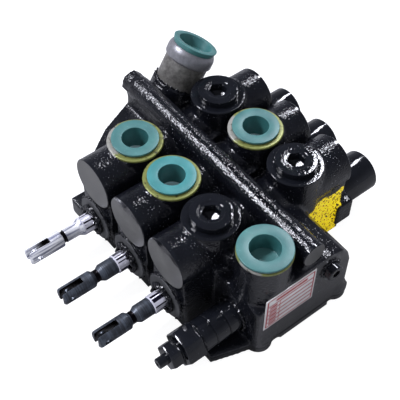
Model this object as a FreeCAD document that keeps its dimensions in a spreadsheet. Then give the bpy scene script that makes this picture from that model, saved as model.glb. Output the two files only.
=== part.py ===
import FreeCAD, Part
import os
import re
import Sketcher
from FreeCAD import Placement, Rotation, Vector

# Three-spool directional control valve for a lift truck, millimetres.
# The origin is the centre of the port grid on the underside of the casting.
# +X runs along the row of spools to the inlet, -Y is the lever side, +Z is up.

SIZES = {
    # Grid of spools and work ports
    "spool_pitch": 44,
    "spool_height": 23,
    "port_row": 38.5,
    "port_face": 84,
    # Casting, spool block
    "core_reach": 68,
    "core_top": 56,
    "column_width": 37.2,
    "column_reach": 75.5,
    "blank_boss_radius": 20.1,
    "blank_boss_height": 63,
    "blank_boss_stand": 2.2,
    "bridge_radius": 15,
    "bridge_height": 59,
    "stem_boss_radius": 17.8,
    "stem_boss_front_stand": 3.5,
    "stem_boss_rear_stand": 8.5,
    "port_boss_radius": 20.7,
    # Casting, pressure gallery ridge
    "ridge_radius": 9.5,
    "ridge_height": 76,
    "ridge_near_inset": 3,
    "ridge_stub_radius": 8.6,
    "ridge_stub": 10,
    "ridge_far_stand": 6,
    "ridge_web": 17,
    # Casting, inlet section
    "inlet_length": 66,
    "inlet_front": 49,
    "inlet_front_top": 49,
    "inlet_step": 41,
    "inlet_rear": 36.5,
    "inlet_top": 64.5,
    "inlet_rear_top": 44,
    "inlet_toe": 41,
    "inlet_corner": 5,
    "ledge_stand": 1,
    "ledge_front": 26,
    "ledge_rear": 18,
    "ledge_height": 5,
    "pressure_boss_drop": 3,
    "pressure_boss_offset": 46,
    "pressure_boss_y": 30,
    "pressure_boss_radius": 19.6,
    "pressure_face": 88.7,
    "relief_offset": 41,
    "relief_height": 24,
    "relief_boss_radius": 17.5,
    "relief_boss_reach": 50,
    # Casting, outlet section
    "outlet_length": 54,
    "outlet_top": 60,
    "outlet_rear": 45,
    "outlet_front": 38,
    "outlet_waist": 10,
    "outlet_slope_x": 12,
    "outlet_corner": 8,
    "pipe_offset": 40,
    "pipe_y": 22.9,
    "pipe_tilt": 31.5,
    "socket_radius": 19.3,
    "socket_height": 13.7,
    "return_passage_radius": 12.6,
    "return_passage_depth": 8,
    # Casting, feet
    "foot_radius": 10.5,
    "foot_height": 9,
    "foot_near_inset": 8,
    "foot_far_offset": 36,
    "foot_spacing_y": 72,
    "foot_centre_y": 4,
    "foot_hole_radius": 4.25,
    "foot_hole_depth": 14,
    "near_lug_height": 9,
    "near_lug_reach": 78,
    "near_lug_tip_inset": 5.5,
    "near_lug_width": 21.5,
    "near_lug_stand": 2.5,
    "near_lug_root": 53,
    "far_lug_height": 16,
    "far_lug_reach": 80,
    "far_lug_width": 15,
    "ear_offset": 6,
    "ear_width": 17,
    "ear_bottom": 11,
    "ear_top": 32,
    # Bores in the casting
    "spool_radius": 7.25,
    "spool_clearance": 0.04,
    "gland_radius": 10.5,
    "front_gland_depth": 8,
    "cap_thread_depth": 8,
    "cap_thread_radius": 14.8,
    "port_bore_radius": 12.5,
    "port_bore_depth": 24,
    "port_passage_radius": 8,
    "pressure_bore_radius": 14.2,
    "pressure_bore_depth": 20,
    "pressure_passage_radius": 9,
    "relief_bore_radius": 9.6,
    "relief_bore_end": 24,
    "check_y": 13,
    "check_height": 55,
    "check_bore_radius": 5.5,
    "check_bore_depth": 40,
    "check_boss_radius": 9.3,
    "check_boss_stand": 1.5,
    "check_orifice_radius": 3,
    "check_orifice_length": 8,
    "fit_gap": 0.1,
    # Spools and their control ends
    "spool_travel": 6.5,
    "spool_stand": 12.8,
    "spool_groove_radius": 5,
    "spool_groove_inner": 6,
    "spool_groove_length": 26,
    "end_thread_radius": 4,
    "end_thread_length": 12,
    "clevis_stand": 58.6,
    "clevis_radius": 6.65,
    "clevis_length": 26.5,
    "clevis_chamfer": 1.2,
    "clevis_slot_width": 4.6,
    "clevis_slot_length": 18,
    "clevis_pin_radius": 2.5,
    "clevis_pin_from_tip": 6,
    "neck_radius": 4.8,
    "neck_length": 4,
    "collar_slope": 3,
    "long_neck_radius": 5.2,
    # Spring pack and cap
    "cap_radius": 16.6,
    "cap_length": 32.5,
    "cap_bore_radius": 13.2,
    "cap_end_wall": 3,
    "pack_gap": 2,
    "pack_end_gap": 0.5,
    "seat_radius": 11.5,
    "seat_thickness": 1.6,
    "stop_bolt_radius": 3,
    "stop_bolt_thread": 10,
    "stop_bolt_head_radius": 5.5,
    "stop_bolt_head": 3.5,
    "spring_coil_radius": 8.4,
    "spring_wire": 1.8,
    "spring_turns": 4,
    "spring_slack": 0.2,
    "seal_gap": 0.05,
    "rear_seal_length": 2.5,
    "wiper_lip": 0.9,
    # Plastic shipping plugs in the ports
    "plug_flange_radius": 17.5,
    "plug_flange": 1.8,
    "plug_lift": 1,
    "plug_cup_radius": 9.75,
    "plug_cup_depth": 20.5,
    "plug_floor": 1.5,
    "pressure_plug_flange_radius": 19.4,
    "pressure_plug_cup_radius": 10.9,
    "pressure_plug_cup_depth": 15,
    # Steel socket plugs in the closed ports
    "blank_plug_flange_radius": 15.2,
    "blank_plug_flange": 5.2,
    "blank_plug_length": 14,
    "blank_plug_rim": 0.8,
    "blank_plug_key": 12,
    "blank_plug_key_depth": 8,
    # Return pipe and its cap
    "pipe_radius": 17.3,
    "pipe_bore_radius": 14.6,
    "pipe_engagement": 12,
    "pipe_plain": 19.6,
    "bead_radius": 19,
    "bead_length": 11.5,
    "bead_step": 1.2,
    "pipe_cap_radius": 18,
    "pipe_cap_taper": 1.2,
    "pipe_cap_flange": 4,
    "pipe_cap_plug": 9,
    "pipe_cap_cup_radius": 11.5,
    "pipe_cap_cup_depth": 7,
    # Relief valve
    "relief_nose": 26,
    "relief_barrel_radius": 12,
    "relief_hex_start": 83,
    "relief_hex_end": 98,
    "relief_hex": 25,
    "relief_groove": 1.2,
    "relief_groove_depth": 0.9,
    "relief_groove_first": 60.2,
    "relief_groove_second": 71.8,
    "relief_chamber_radius": 6.2,
    "relief_chamber_end": 90,
    "relief_orifice_radius": 4,
    "relief_orifice_length": 3,
    "poppet_gap": 0.3,
    "poppet_cone": 1.2,
    "poppet_length": 12,
    "relief_coil_radius": 4.3,
    "relief_wire": 1.4,
    "relief_turns": 7,
    "relief_seat_length": 4,
    "adjuster_radius": 4,
    "adjuster_reach": 115.8,
    "adjuster_inner_reach": 84,
    "adjuster_key": 3,
    "adjuster_key_depth": 5,
    "lock_nut_hex": 18,
    "lock_nut_length": 9,
    "lock_washer_radius": 8.6,
    "lock_washer": 1.4,
    # Load check in the inlet section
    "check_plug_head_radius": 6.5,
    "check_plug_head": 7,
    "check_plug_thread": 10,
    "check_plug_key": 6,
    "check_plug_key_depth": 5,
    "check_poppet_length": 12,
    "check_coil_radius": 3.7,
    "check_wire": 1.2,
    "check_turns": 4,
    # Data plate
    "plate_front": 44,
    "plate_length": 45,
    "plate_bottom": 28,
    "plate_height": 35.5,
    "plate_thickness": 0.6,
}

# Places along the row of spools, all kept with the pitch
PLACES = {
    "inlet_face": "spool_pitch + inlet_length",
    "pressure_boss_x": "spool_pitch + pressure_boss_offset",
    "relief_x": "spool_pitch + relief_offset",
    "check_bore_end": "inlet_face - check_bore_depth",
    "check_orifice_end": "check_bore_end - check_orifice_length",
    "ridge_near_end": "inlet_face - ridge_near_inset",
    "foot_near_x": "inlet_face - foot_near_inset",
    "near_lug_outer": "foot_near_x + near_lug_stand",
    "near_lug_tip": "foot_near_x - near_lug_tip_inset",
    "near_lug_inner": "near_lug_outer - near_lug_width",
    "ear_inner": "spool_pitch + ear_offset",
    "ear_outer": "ear_inner + ear_width",
    "outlet_face": "spool_pitch + outlet_length",
    "pipe_x": "spool_pitch + pipe_offset",
    "foot_far_x": "spool_pitch + foot_far_offset",
    "ridge_far_end": "outlet_face + ridge_far_stand",
}

doc = FreeCAD.newDocument("control_valve")
sheet = doc.addObject("Spreadsheet::Sheet", "sizes")
CELLS = SIZES | {alias: f"={formula}" for alias, formula in PLACES.items()}
for row, (alias, size) in enumerate(CELLS.items(), start=1):
    sheet.set(f"A{row}", alias)
    sheet.set(f"B{row}", str(size))
    sheet.setAlias(f"B{row}", alias)
doc.recompute()

SPOOLS = {1: "-spool_pitch", 2: "0", 3: "spool_pitch"}
PORTS = {"a": "-port_row", "b": "port_row"}
STEM_FRONT = "(column_reach + stem_boss_front_stand)"
STEM_REAR = "(column_reach + stem_boss_rear_stand)"
SPOOL_NOSE = f"({STEM_FRONT} + spool_stand)"
CLEVIS_TIP = f"({STEM_FRONT} + clevis_stand)"
CAP_END = f"({STEM_REAR} + cap_length)"
COIL_FACETS = 12
HAIR = 0.01
TURNS = {"x": Rotation(Vector(0, 1, 0), 90), "y": Rotation(Vector(1, 0, 0), -90), "z": Rotation()}
parts = []


def bound(text):
    """The text of a formula with every size name pointed at the sheet."""
    return re.sub(r"[a-z_]+", lambda w: f"sizes.{w[0]}" if w[0] in CELLS else w[0], text)


def number(text):
    """The present value of a formula."""
    value = sheet.evalExpression(bound(text))
    return float(getattr(value, "Value", value))


def place(obj, x="0", y="0", z="0"):
    for axis, text in zip("xyz", (x, y, z)):
        obj.setExpression(f"Placement.Base.{axis}", bound(text))


def form(name):
    """A body that shapes the casting."""
    return doc.addObject("PartDesign::Body", name)


def part(name):
    """A body that is a piece of its own."""
    body = form(name)
    body.Label = name
    parts.append(body)
    return body


def feature(body, kind, name, sizes, at, axis="z"):
    """A primitive added to or cut from a body, its own Z axis turned to the named axis."""
    made = body.newObject(f"PartDesign::{kind}", name)
    made.Placement = Placement(Vector(), TURNS[axis])
    for prop, text in sizes.items():
        made.setExpression(prop, bound(text))
    place(made, *at)
    return made


def rod(body, kind, name, axis, radius, start, end, across):
    """A round bar or bore along an axis; across gives the two other coordinates in order."""
    at = list(across)
    at.insert("xyz".index(axis), start)
    sizes = {"Radius": radius, "Height": f"({end}) - ({start})"}
    return feature(body, f"{kind}Cylinder", name, sizes, at, axis)


def block(body, kind, name, x, y, z):
    """A box between pairs of coordinates."""
    sizes = {}
    for prop, (low, high) in zip(("Length", "Width", "Height"), (x, y, z)):
        sizes[prop] = f"({high}) - ({low})"
    return feature(body, f"{kind}Box", name, sizes, (x[0], y[0], z[0]))


def hexagon(body, kind, name, axis, across_flats, start, end, across):
    """A hexagonal bar or socket along an axis."""
    at = list(across)
    at.insert("xyz".index(axis), start)
    sizes = {"Circumradius": f"({across_flats}) / 2 / cos(30)", "Height": f"({end}) - ({start})"}
    made = feature(body, f"{kind}Prism", name, sizes, at, axis)
    made.Polygon = 6
    return made


def outline(body, name, role, points):
    """A closed sketch of straight sides; every corner is held by two sizes."""
    plane = next(f for f in body.Origin.OriginFeatures if f.Role == role)
    sketch = body.newObject("Sketcher::SketchObject", name)
    sketch.AttachmentSupport = [(plane, "")]
    sketch.MapMode = "FlatFace"
    corners = [Vector(number(u), number(v), 0) for u, v in points]
    count = len(points)
    for i in range(count):
        sketch.addGeometry(Part.LineSegment(corners[i], corners[(i + 1) % count]), False)
    for i in range(count):
        sketch.addConstraint(Sketcher.Constraint("Coincident", i, 2, (i + 1) % count, 1))
    for i, texts in enumerate(points):
        for kind, text, value in zip(("DistanceX", "DistanceY"), texts, corners[i]):
            index = sketch.addConstraint(Sketcher.Constraint(kind, -1, 1, i, 1, value))
            sketch.setExpression(f"Constraints[{index}]", bound(text))
    return sketch


def revolve(body, name, axis, profile):
    """A turned shape; the profile gives places along the axis and radii."""
    role = "XZ_Plane" if axis == "z" else "XY_Plane"
    points = profile if axis == "x" else [(radius, along) for along, radius in profile]
    sketch = outline(body, f"{name}_profile", role, points)
    turn = body.newObject("PartDesign::Revolution", name)
    turn.Profile = sketch
    turn.ReferenceAxis = (sketch, ["H_Axis" if axis == "x" else "V_Axis"])
    turn.Angle = 360
    return turn


def turned(name, axis, profile, at=("0", "0", "0")):
    """A turned piece in a node of its own."""
    body = part(name)
    revolve(body, f"{name}_turn", axis, profile)
    place(body, *at)
    return body


def ring(name, axis, inner, outer, start, end, at):
    profile = [(start, inner), (start, outer), (end, outer), (end, inner)]
    return turned(name, axis, profile, at)


def pad(body, name, role, points, length, offset):
    """A straight pad of a sketch that starts at an offset from its plane."""
    sketch = outline(body, f"{name}_outline", role, points)
    sketch.setExpression("AttachmentOffset.Base.z", bound(offset))
    made = body.newObject("PartDesign::Pad", name)
    made.Profile = sketch
    made.setExpression("Length", bound(length))
    return made


def round_edges(body, name, base, radius, wanted):
    """Rounds the edges of the last feature whose middle point is wanted."""
    doc.recompute()
    names = []
    for i, edge in enumerate(base.Shape.Edges, start=1):
        middle = edge.valueAt((edge.FirstParameter + edge.LastParameter) / 2)
        if wanted(edge, middle):
            names.append(f"Edge{i}")
    made = body.newObject("PartDesign::Fillet", name)
    made.Base = (base, names)
    made.setExpression("Radius", bound(radius))
    return made


def upright(edge):
    first, last = edge.Vertexes[0].Point, edge.Vertexes[-1].Point
    return abs(first.x - last.x) + abs(first.y - last.y) < HAIR < abs(first.z - last.z)


def tilted(feat, angle):
    """Leans a feature or body from the vertical towards +Y."""
    feat.Placement = Placement(feat.Placement.Base, Rotation(Vector(1, 0, 0), -number(angle)))
    feat.setExpression("Placement.Rotation.Angle", bound(f"-({angle})"))


def coil(name, axis, radius, wire, turns, start, end, at):
    """A coil spring of square wire in short straight runs; a hair of slack lies at each end."""
    first, height = f"({start}) + spring_slack", f"({end}) - ({start}) - 2 * spring_slack - ({wire})"
    inner, outer = number(f"({radius}) - ({wire}) / 2"), number(f"({radius}) + ({wire}) / 2")
    thick, steps = number(wire), round(number(turns) * COIL_FACETS)
    sections = []
    for i in range(steps + 1):
        spin = Rotation(Vector(0, 0, 1), 360 * i / COIL_FACETS)
        low = number(height) * i / steps
        corners = [spin.multVec(Vector(r, 0, z)) for r, z in
                   ((inner, low), (outer, low), (outer, low + thick), (inner, low + thick), (inner, low))]
        sections.append(Part.makePolygon(corners))
    spring = doc.addObject("Part::Feature", name)
    spring.Shape = Part.makeLoft(sections, True, True)
    spring.Label = name
    spring.Placement = Placement(Vector(), TURNS[axis])
    base = list(at)
    along = "xyz".index(axis)
    base[along] = f"({at[along]}) + {first}"
    place(spring, *base)
    parts.append(spring)
    return spring


# Valve casting

def inlet_block():
    """The inlet section, a profile seen along the row of spools, with its two bosses."""
    body = form("inlet_section")
    rise = "(inlet_top - inlet_rear_top)"
    points = [("-inlet_front", "0"), ("inlet_toe", "0"), ("inlet_toe", "foot_height"),
              ("inlet_rear", "foot_height + inlet_toe - inlet_rear"), ("inlet_rear", "inlet_rear_top"),
              (f"inlet_rear - {rise} * 0.15", f"inlet_rear_top + {rise} * 0.5"),
              (f"inlet_rear - {rise} * 0.45", f"inlet_rear_top + {rise} * 0.85"),
              (f"inlet_rear - {rise}", "inlet_top"), ("-inlet_step", "inlet_top"),
              ("-inlet_step", "inlet_front_top"), ("-inlet_front", "inlet_front_top")]
    made = pad(body, "inlet_pad", "YZ_Plane", points, "inlet_face - spool_pitch", "spool_pitch")
    front, face = -number("inlet_front"), number("inlet_face")
    round_edges(body, "inlet_rounding", made, "inlet_corner", lambda edge, middle: upright(edge)
                and abs(middle.x - face) < HAIR and abs(middle.y - front) < HAIR)
    block(body, "Additive", "inlet_ledge", ("inlet_face - ledge_stand", "inlet_face + ledge_stand"),
          ("-ledge_front", "ledge_rear"), ("0", "ledge_height"))
    rod(body, "Additive", "pressure_boss", "z", "pressure_boss_radius", "inlet_front_top - pressure_boss_drop",
        "pressure_face", ("pressure_boss_x", "-pressure_boss_y"))
    rod(body, "Additive", "relief_boss", "y", "relief_boss_radius", "-relief_boss_reach", "-pressure_boss_y",
        ("relief_x", "relief_height"))
    rod(body, "Additive", "check_boss", "x", "check_boss_radius", "inlet_face - check_plug_thread",
        "inlet_face + check_boss_stand", ("check_y", "check_height"))
    return body


def spool_section(n, x):
    """One spool section, a column with its blank bosses, stem bosses and two ports."""
    body = form(f"section_{n}")
    half = "column_width / 2"
    block(body, "Additive", f"column_{n}", (f"-{half}", half), ("-column_reach", "column_reach"),
          ("0", "blank_boss_height"))
    rod(body, "Additive", f"bridge_{n}", "y", "bridge_radius", "-port_row", "port_row", ("0", "bridge_height"))
    blank = "(column_reach + blank_boss_stand)"
    rows = {"front": (f"-{blank}", "-port_row", f"-{STEM_FRONT}", "-port_row"),
            "rear": ("port_row", blank, "port_row", STEM_REAR)}
    for side, (start, end, stem_start, stem_end) in rows.items():
        rod(body, "Additive", f"blank_{side}_{n}", "y", "blank_boss_radius", start, end, ("0", "blank_boss_height"))
        rod(body, "Additive", f"stem_{side}_{n}", "y", "stem_boss_radius", stem_start, stem_end,
            ("0", "spool_height"))
    for side, y in PORTS.items():
        rod(body, "Additive", f"port_{side}{n}", "z", "port_boss_radius", "core_top - port_boss_radius / 2",
            "port_face", ("0", y))
    place(body, x)
    return body


def outlet_block():
    """The outlet section, seen in plan, with the leaning socket for the return pipe."""
    body = form("outlet_section")
    near, mid, far = "-spool_pitch", "-(outlet_face - outlet_slope_x)", "-outlet_face"
    points = [(near, "-core_reach"), (f"({near} + {mid}) / 2", "-core_reach"), (mid, "-outlet_front"),
              (far, "-outlet_waist"), (far, "outlet_rear"), (near, "outlet_rear")]
    made = pad(body, "outlet_pad", "XY_Plane", points, "outlet_top", "0")
    face = -number("outlet_face")
    round_edges(body, "outlet_rounding", made, "outlet_corner",
                lambda edge, middle: upright(edge) and abs(middle.x - face) < HAIR)
    root = "-socket_height"
    socket = rod(body, "Additive", "pipe_socket", "z", "socket_radius", "0", "2 * socket_height", ("-pipe_x", "0"))
    tilted(socket, "pipe_tilt")
    place(socket, "-pipe_x", f"pipe_y + ({root}) * sin(pipe_tilt)", f"outlet_top + ({root}) * cos(pipe_tilt)")
    return body


def spool_block():
    """The block that joins the sections, with the pressure gallery ridge over it."""
    body = form("spool_block")
    side = "(spool_pitch + column_width / 2)"
    block(body, "Additive", "core", (f"-{side}", side), ("-core_reach", "core_reach"), ("0", "core_top"))
    block(body, "Additive", "ridge_wall", ("-outlet_face", "ridge_near_end"),
          ("-ridge_web / 2", "ridge_web / 2"), ("core_top - 1", "ridge_height"))
    stub_end = "ridge_stub - ridge_far_end"
    rod(body, "Additive", "ridge", "x", "ridge_radius", stub_end, "ridge_near_end",
        ("0", "ridge_height"))
    rod(body, "Additive", "ridge_end", "x", "ridge_stub_radius", "-ridge_far_end", stub_end,
        ("0", "ridge_height"))
    return body


FEET = {"near_front": ("foot_near_x", "-"), "near_rear": ("foot_near_x", ""),
        "far_front": ("-foot_far_x", "-"), "far_rear": ("-foot_far_x", "")}


def foot_axis(name):
    x, sign = FEET[name]
    return x, f"{sign}foot_spacing_y / 2 - foot_centre_y"


def feet():
    """Four tapped feet, the two lugs at the lever side and the ear beside the third spring cap."""
    body = form("feet")
    for name in FEET:
        rod(body, "Additive", f"foot_{name}", "z", "foot_radius", "0", "foot_height", foot_axis(name))
    points = [("near_lug_inner", "-pressure_boss_y"), ("near_lug_inner", "-near_lug_reach"),
              ("near_lug_tip", "-near_lug_reach"), ("near_lug_outer", "-near_lug_root"),
              ("near_lug_outer", "-pressure_boss_y")]
    pad(body, "near_lug", "XY_Plane", points, "near_lug_height", "0")
    lug_side = "-(spool_pitch + stem_boss_radius)"
    block(body, "Additive", "far_lug", (f"{lug_side} - far_lug_width", f"{lug_side} + 1"),
          ("-far_lug_reach", "-outlet_front"), ("0", "far_lug_height"))
    block(body, "Additive", "rear_ear", ("ear_inner", "ear_outer"), ("core_reach", STEM_REAR),
          ("ear_bottom", "ear_top"))
    return body


def spool_core(n, x):
    """The stepped spool bore with its front gland and the cap thread."""
    bore, thread = "spool_radius + spool_clearance", "cap_thread_radius + fit_gap"
    front, gland = f"-{STEM_FRONT} - 1", f"front_gland_depth - {STEM_FRONT}"
    cap_floor, rear = f"{STEM_REAR} - cap_thread_depth", f"{STEM_REAR} + 1"
    profile = [(front, "0"), (front, "gland_radius"), (gland, "gland_radius"), (gland, bore)]
    profile += [(cap_floor, bore), (cap_floor, thread), (rear, thread), (rear, "0")]
    body = form(f"spool_core_{n}")
    revolve(body, f"spool_bore_{n}", "y", profile)
    place(body, x, "0", "spool_height")
    return body


def stepped_core(name, axis, at, steps):
    """A stepped bore; the steps give where each one starts and its radius, from the inside out."""
    profile = []
    for i, (start, radius) in enumerate(steps[:-1]):
        profile += [(start, radius), (steps[i + 1][0], radius)]
    profile = [(steps[0][0], "0")] + profile + [(steps[-1][0], "0")]
    body = form(name)
    revolve(body, f"{name}_bore", axis, profile)
    place(body, *at)
    return body


def cores():
    made = [spool_core(n, x) for n, x in SPOOLS.items()]
    port = [("spool_height", "port_passage_radius"), ("port_face - port_bore_depth", "port_bore_radius"),
            ("port_face + 1", "")]
    for n, x in SPOOLS.items():
        made += [stepped_core(f"port_core_{side}{n}", "z", (x, y, "0"), port) for side, y in PORTS.items()]
    made.append(stepped_core("pressure_core", "z", ("pressure_boss_x", "-pressure_boss_y", "0"), [
        ("relief_height", "pressure_passage_radius"),
        ("pressure_face - pressure_bore_depth", "pressure_bore_radius"), ("pressure_face + 1", "")]))
    made.append(stepped_core("relief_core", "y", ("relief_x", "0", "relief_height"), [
        ("-relief_bore_end", "relief_bore_radius"), ("-relief_boss_reach - 1", "")]))
    made.append(stepped_core("check_core", "x", ("0", "check_y", "check_height"), [
        ("check_orifice_end", "check_orifice_radius"), ("check_bore_end", "check_bore_radius"),
        ("inlet_face + check_boss_stand + 1", "")]))
    socket = stepped_core("return_core", "z", ("-pipe_x", "pipe_y", "outlet_top"), [
        ("socket_height - pipe_engagement - return_passage_depth", "return_passage_radius"),
        ("socket_height - pipe_engagement", "pipe_radius + fit_gap"), ("socket_height + 2", "")])
    tilted(socket, "pipe_tilt")
    made.append(socket)
    threads = form("foot_threads")
    for name in FEET:
        rod(threads, "Additive", f"thread_{name}", "z", "foot_hole_radius", "-1", "foot_hole_depth", foot_axis(name))
    made.append(threads)
    return made


def valve_body():
    """The casting: all its sections in one, less the cores."""
    solid = doc.addObject("Part::MultiFuse", "casting_solid")
    sections = [spool_section(n, x) for n, x in SPOOLS.items()]
    solid.Shapes = [inlet_block(), spool_block(), outlet_block(), feet()] + sections
    hollow = doc.addObject("Part::MultiFuse", "casting_hollow")
    hollow.Shapes = cores()
    casting = doc.addObject("Part::Cut", "valve_body")
    casting.Base, casting.Tool = solid, hollow
    casting.Label = "valve_body"
    parts.append(casting)


# Spools and what moves with them

def spool(n, x):
    """A ground spool with two metering grooves, threaded at both ends."""
    end = f"{STEM_REAR} + pack_gap"
    grooves = []
    for start in ("-(spool_groove_inner + spool_groove_length)", "spool_groove_inner"):
        stop = f"{start} + spool_groove_length"
        grooves += [(start, "spool_radius"), (start, "spool_groove_radius"), (stop, "spool_groove_radius"),
                    (stop, "spool_radius")]
    nose, thread = f"-{SPOOL_NOSE}", "end_thread_radius + fit_gap"
    floor, tail = f"end_thread_length + fit_gap - {SPOOL_NOSE}", f"{end} - stop_bolt_thread - fit_gap"
    profile = [(nose, thread), (nose, "spool_radius")]
    profile += grooves
    profile += [(end, "spool_radius"), (end, "stop_bolt_radius + fit_gap"), (tail, "stop_bolt_radius + fit_gap"), (tail, "0"),
                (floor, "0"), (floor, thread)]
    turned(f"spool_{n}", "y", profile, (x, "0", "spool_height"))


def clevis_end(n, x):
    """A forked end screwed into the spool; the first one has a long neck and no collar."""
    root = f"clevis_length - {CLEVIS_TIP}"
    tip, nose = f"-{CLEVIS_TIP}", f"-{SPOOL_NOSE}"
    body = part(f"clevis_end_{n}")
    profile = [(tip, "0"), (tip, "clevis_radius - clevis_chamfer"),
               (f"{tip} + clevis_chamfer", "clevis_radius"), (f"{root} - clevis_chamfer", "clevis_radius")]
    if n == 1:
        profile += [(root, "long_neck_radius"), (f"{nose} - collar_slope", "long_neck_radius"),
                    (nose, "spool_radius - collar_slope / 4")]
    else:
        profile += [(root, "neck_radius"), (f"{root} + neck_length", "neck_radius"),
                    (f"{root} + neck_length + collar_slope", "clevis_radius"), (nose, "clevis_radius")]
    profile += [(nose, "end_thread_radius"), (f"{nose} + end_thread_length", "end_thread_radius"),
                (f"{nose} + end_thread_length", "0")]
    revolve(body, f"fork_{n}", "y", profile)
    block(body, "Subtractive", f"fork_slot_{n}", ("-clevis_slot_width / 2", "clevis_slot_width / 2"),
          (f"{tip} - 1", f"{tip} + clevis_slot_length"), ("-clevis_radius - 1", "clevis_radius + 1"))
    rod(body, "Subtractive", f"fork_pin_{n}", "x", "clevis_pin_radius", "-clevis_radius - 1", "clevis_radius + 1",
        (f"{tip} + clevis_pin_from_tip", "0"))
    place(body, x, "0", "spool_height")


CAP_FLOOR = f"({STEM_REAR} - cap_thread_depth)"
PACK_START = f"({STEM_REAR} + pack_gap)"
PACK_END = f"({CAP_END} - cap_end_wall - spool_travel - pack_end_gap - stop_bolt_head)"


def spring_pack(n, x):
    """The centring spring between two seats, held on the spool's tail by a shoulder bolt."""
    at = (x, "0", "spool_height")
    hole = "stop_bolt_radius + fit_gap"
    ring(f"spring_seat_inner_{n}", "y", hole, "seat_radius", PACK_START, f"{PACK_START} + seat_thickness", at)
    ring(f"spring_seat_outer_{n}", "y", hole, "seat_radius", f"{PACK_END} - seat_thickness", PACK_END, at)
    coil(f"centering_spring_{n}", "y", "spring_coil_radius", "spring_wire", "spring_turns",
         f"{PACK_START} + seat_thickness", f"{PACK_END} - seat_thickness", at)
    turned(f"stop_bolt_{n}", "y", [
        (f"{PACK_START} - stop_bolt_thread", "0"), (f"{PACK_START} - stop_bolt_thread", "stop_bolt_radius"),
        (PACK_END, "stop_bolt_radius"), (PACK_END, "stop_bolt_head_radius"),
        (f"{PACK_END} + stop_bolt_head", "stop_bolt_head_radius"), (f"{PACK_END} + stop_bolt_head", "0")], at)


def spring_cap(n, x):
    """A turned cup screwed into the rear of the casting over the spring pack."""
    start, seat, end = f"{CAP_FLOOR} + rear_seal_length", STEM_REAR, CAP_END
    turned(f"spring_cap_{n}", "y", [
        (start, "cap_bore_radius"), (start, "cap_thread_radius"), (seat, "cap_thread_radius"), (seat, "cap_radius"),
        (end, "cap_radius"), (end, "0"),
        (f"{end} - cap_end_wall", "0"), (f"{end} - cap_end_wall", "cap_bore_radius")], (x, "0", "spool_height"))


def spool_seals(n, x):
    """The front gland's lip seal and the seal ring under the mouth of the spring cap."""
    at = (x, "0", "spool_height")
    inner, outer = "spool_radius + seal_gap", "gland_radius - seal_gap"
    floor = f"front_gland_depth - {STEM_FRONT}"
    turned(f"front_seal_{n}", "y", [
        (floor, inner), (floor, outer), (f"-{STEM_FRONT}", outer), (f"-{STEM_FRONT} - wiper_lip", inner)], at)
    ring(f"rear_seal_{n}", "y", inner, "cap_thread_radius", CAP_FLOOR, f"{CAP_FLOOR} + rear_seal_length", at)


# Port closures

def shipping_plug(name, flange_radius, bore_radius, cup_radius, cup_depth, at):
    """A soft plastic screw plug with a deep cup, its flange standing just off the port face."""
    top, body_radius = "plug_lift + plug_flange", f"{bore_radius} - fit_gap"
    bottom = f"{top} - {cup_depth} - plug_floor"
    turned(name, "z", [
        (bottom, "0"), (bottom, body_radius), ("plug_lift", body_radius), ("plug_lift", flange_radius),
        (top, flange_radius), (top, cup_radius), (f"{top} - {cup_depth}", cup_radius),
        (f"{top} - {cup_depth}", "0")], at)


def blank_plug(name, at):
    """A steel plug with a hexagon socket in its flange."""
    body = part(f"blank_plug_{name}")
    revolve(body, f"plug_{name}", "z", [
        ("-blank_plug_length", "0"), ("-blank_plug_length", "port_bore_radius - fit_gap"),
        ("0", "port_bore_radius - fit_gap"), ("0", "blank_plug_flange_radius"),
        ("blank_plug_flange - blank_plug_rim", "blank_plug_flange_radius"),
        ("blank_plug_flange", "blank_plug_flange_radius - blank_plug_rim"), ("blank_plug_flange", "0")])
    hexagon(body, "Subtractive", f"plug_key_{name}", "z", "blank_plug_key",
            "blank_plug_flange - blank_plug_key_depth", "blank_plug_flange + 1", ("0", "0"))
    place(body, *at)


def port_closures():
    for port in ("a1", "a2", "b2"):
        shipping_plug(f"port_plug_{port}", "plug_flange_radius", "port_bore_radius", "plug_cup_radius",
                      "plug_cup_depth", (SPOOLS[int(port[1])], PORTS[port[0]], "port_face"))
    shipping_plug("port_plug_pressure", "pressure_plug_flange_radius", "pressure_bore_radius",
                  "pressure_plug_cup_radius", "pressure_plug_cup_depth",
                  ("pressure_boss_x", "-pressure_boss_y", "pressure_face"))
    for port in ("a3", "b1", "b3"):
        blank_plug(port, (SPOOLS[int(port[1])], PORTS[port[0]], "port_face"))


# Return pipe

def return_pipe():
    """A hose tail with a rolled bead, pressed into the leaning socket, and its plastic cap."""
    start = "socket_height - pipe_engagement"
    bead = "socket_height + pipe_plain"
    end = f"{bead} + bead_length"
    pipe = turned("return_pipe", "z", [
        (start, "pipe_bore_radius"), (start, "pipe_radius"), (bead, "pipe_radius"),
        (f"{bead} + bead_step", "bead_radius"), (f"{end} - bead_step * 3", "bead_radius"),
        (end, "pipe_radius - bead_step / 2"), (end, "pipe_bore_radius")])
    top = f"{end} + pipe_cap_flange"
    cap = turned("pipe_cap", "z", [
        (f"{end} - pipe_cap_plug", "0"), (f"{end} - pipe_cap_plug", "pipe_bore_radius - fit_gap"),
        (end, "pipe_bore_radius - fit_gap"), (end, "pipe_cap_radius - pipe_cap_taper"), (top, "pipe_cap_radius"),
        (top, "pipe_cap_cup_radius"), (f"{top} - pipe_cap_cup_depth", "pipe_cap_cup_radius"),
        (f"{top} - pipe_cap_cup_depth", "0")])
    for body in (pipe, cap):
        tilted(body, "pipe_tilt")
        place(body, "-pipe_x", "pipe_y", "outlet_top")


# Relief valve

RELIEF_AT = ("relief_x", "0", "relief_height")


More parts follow.
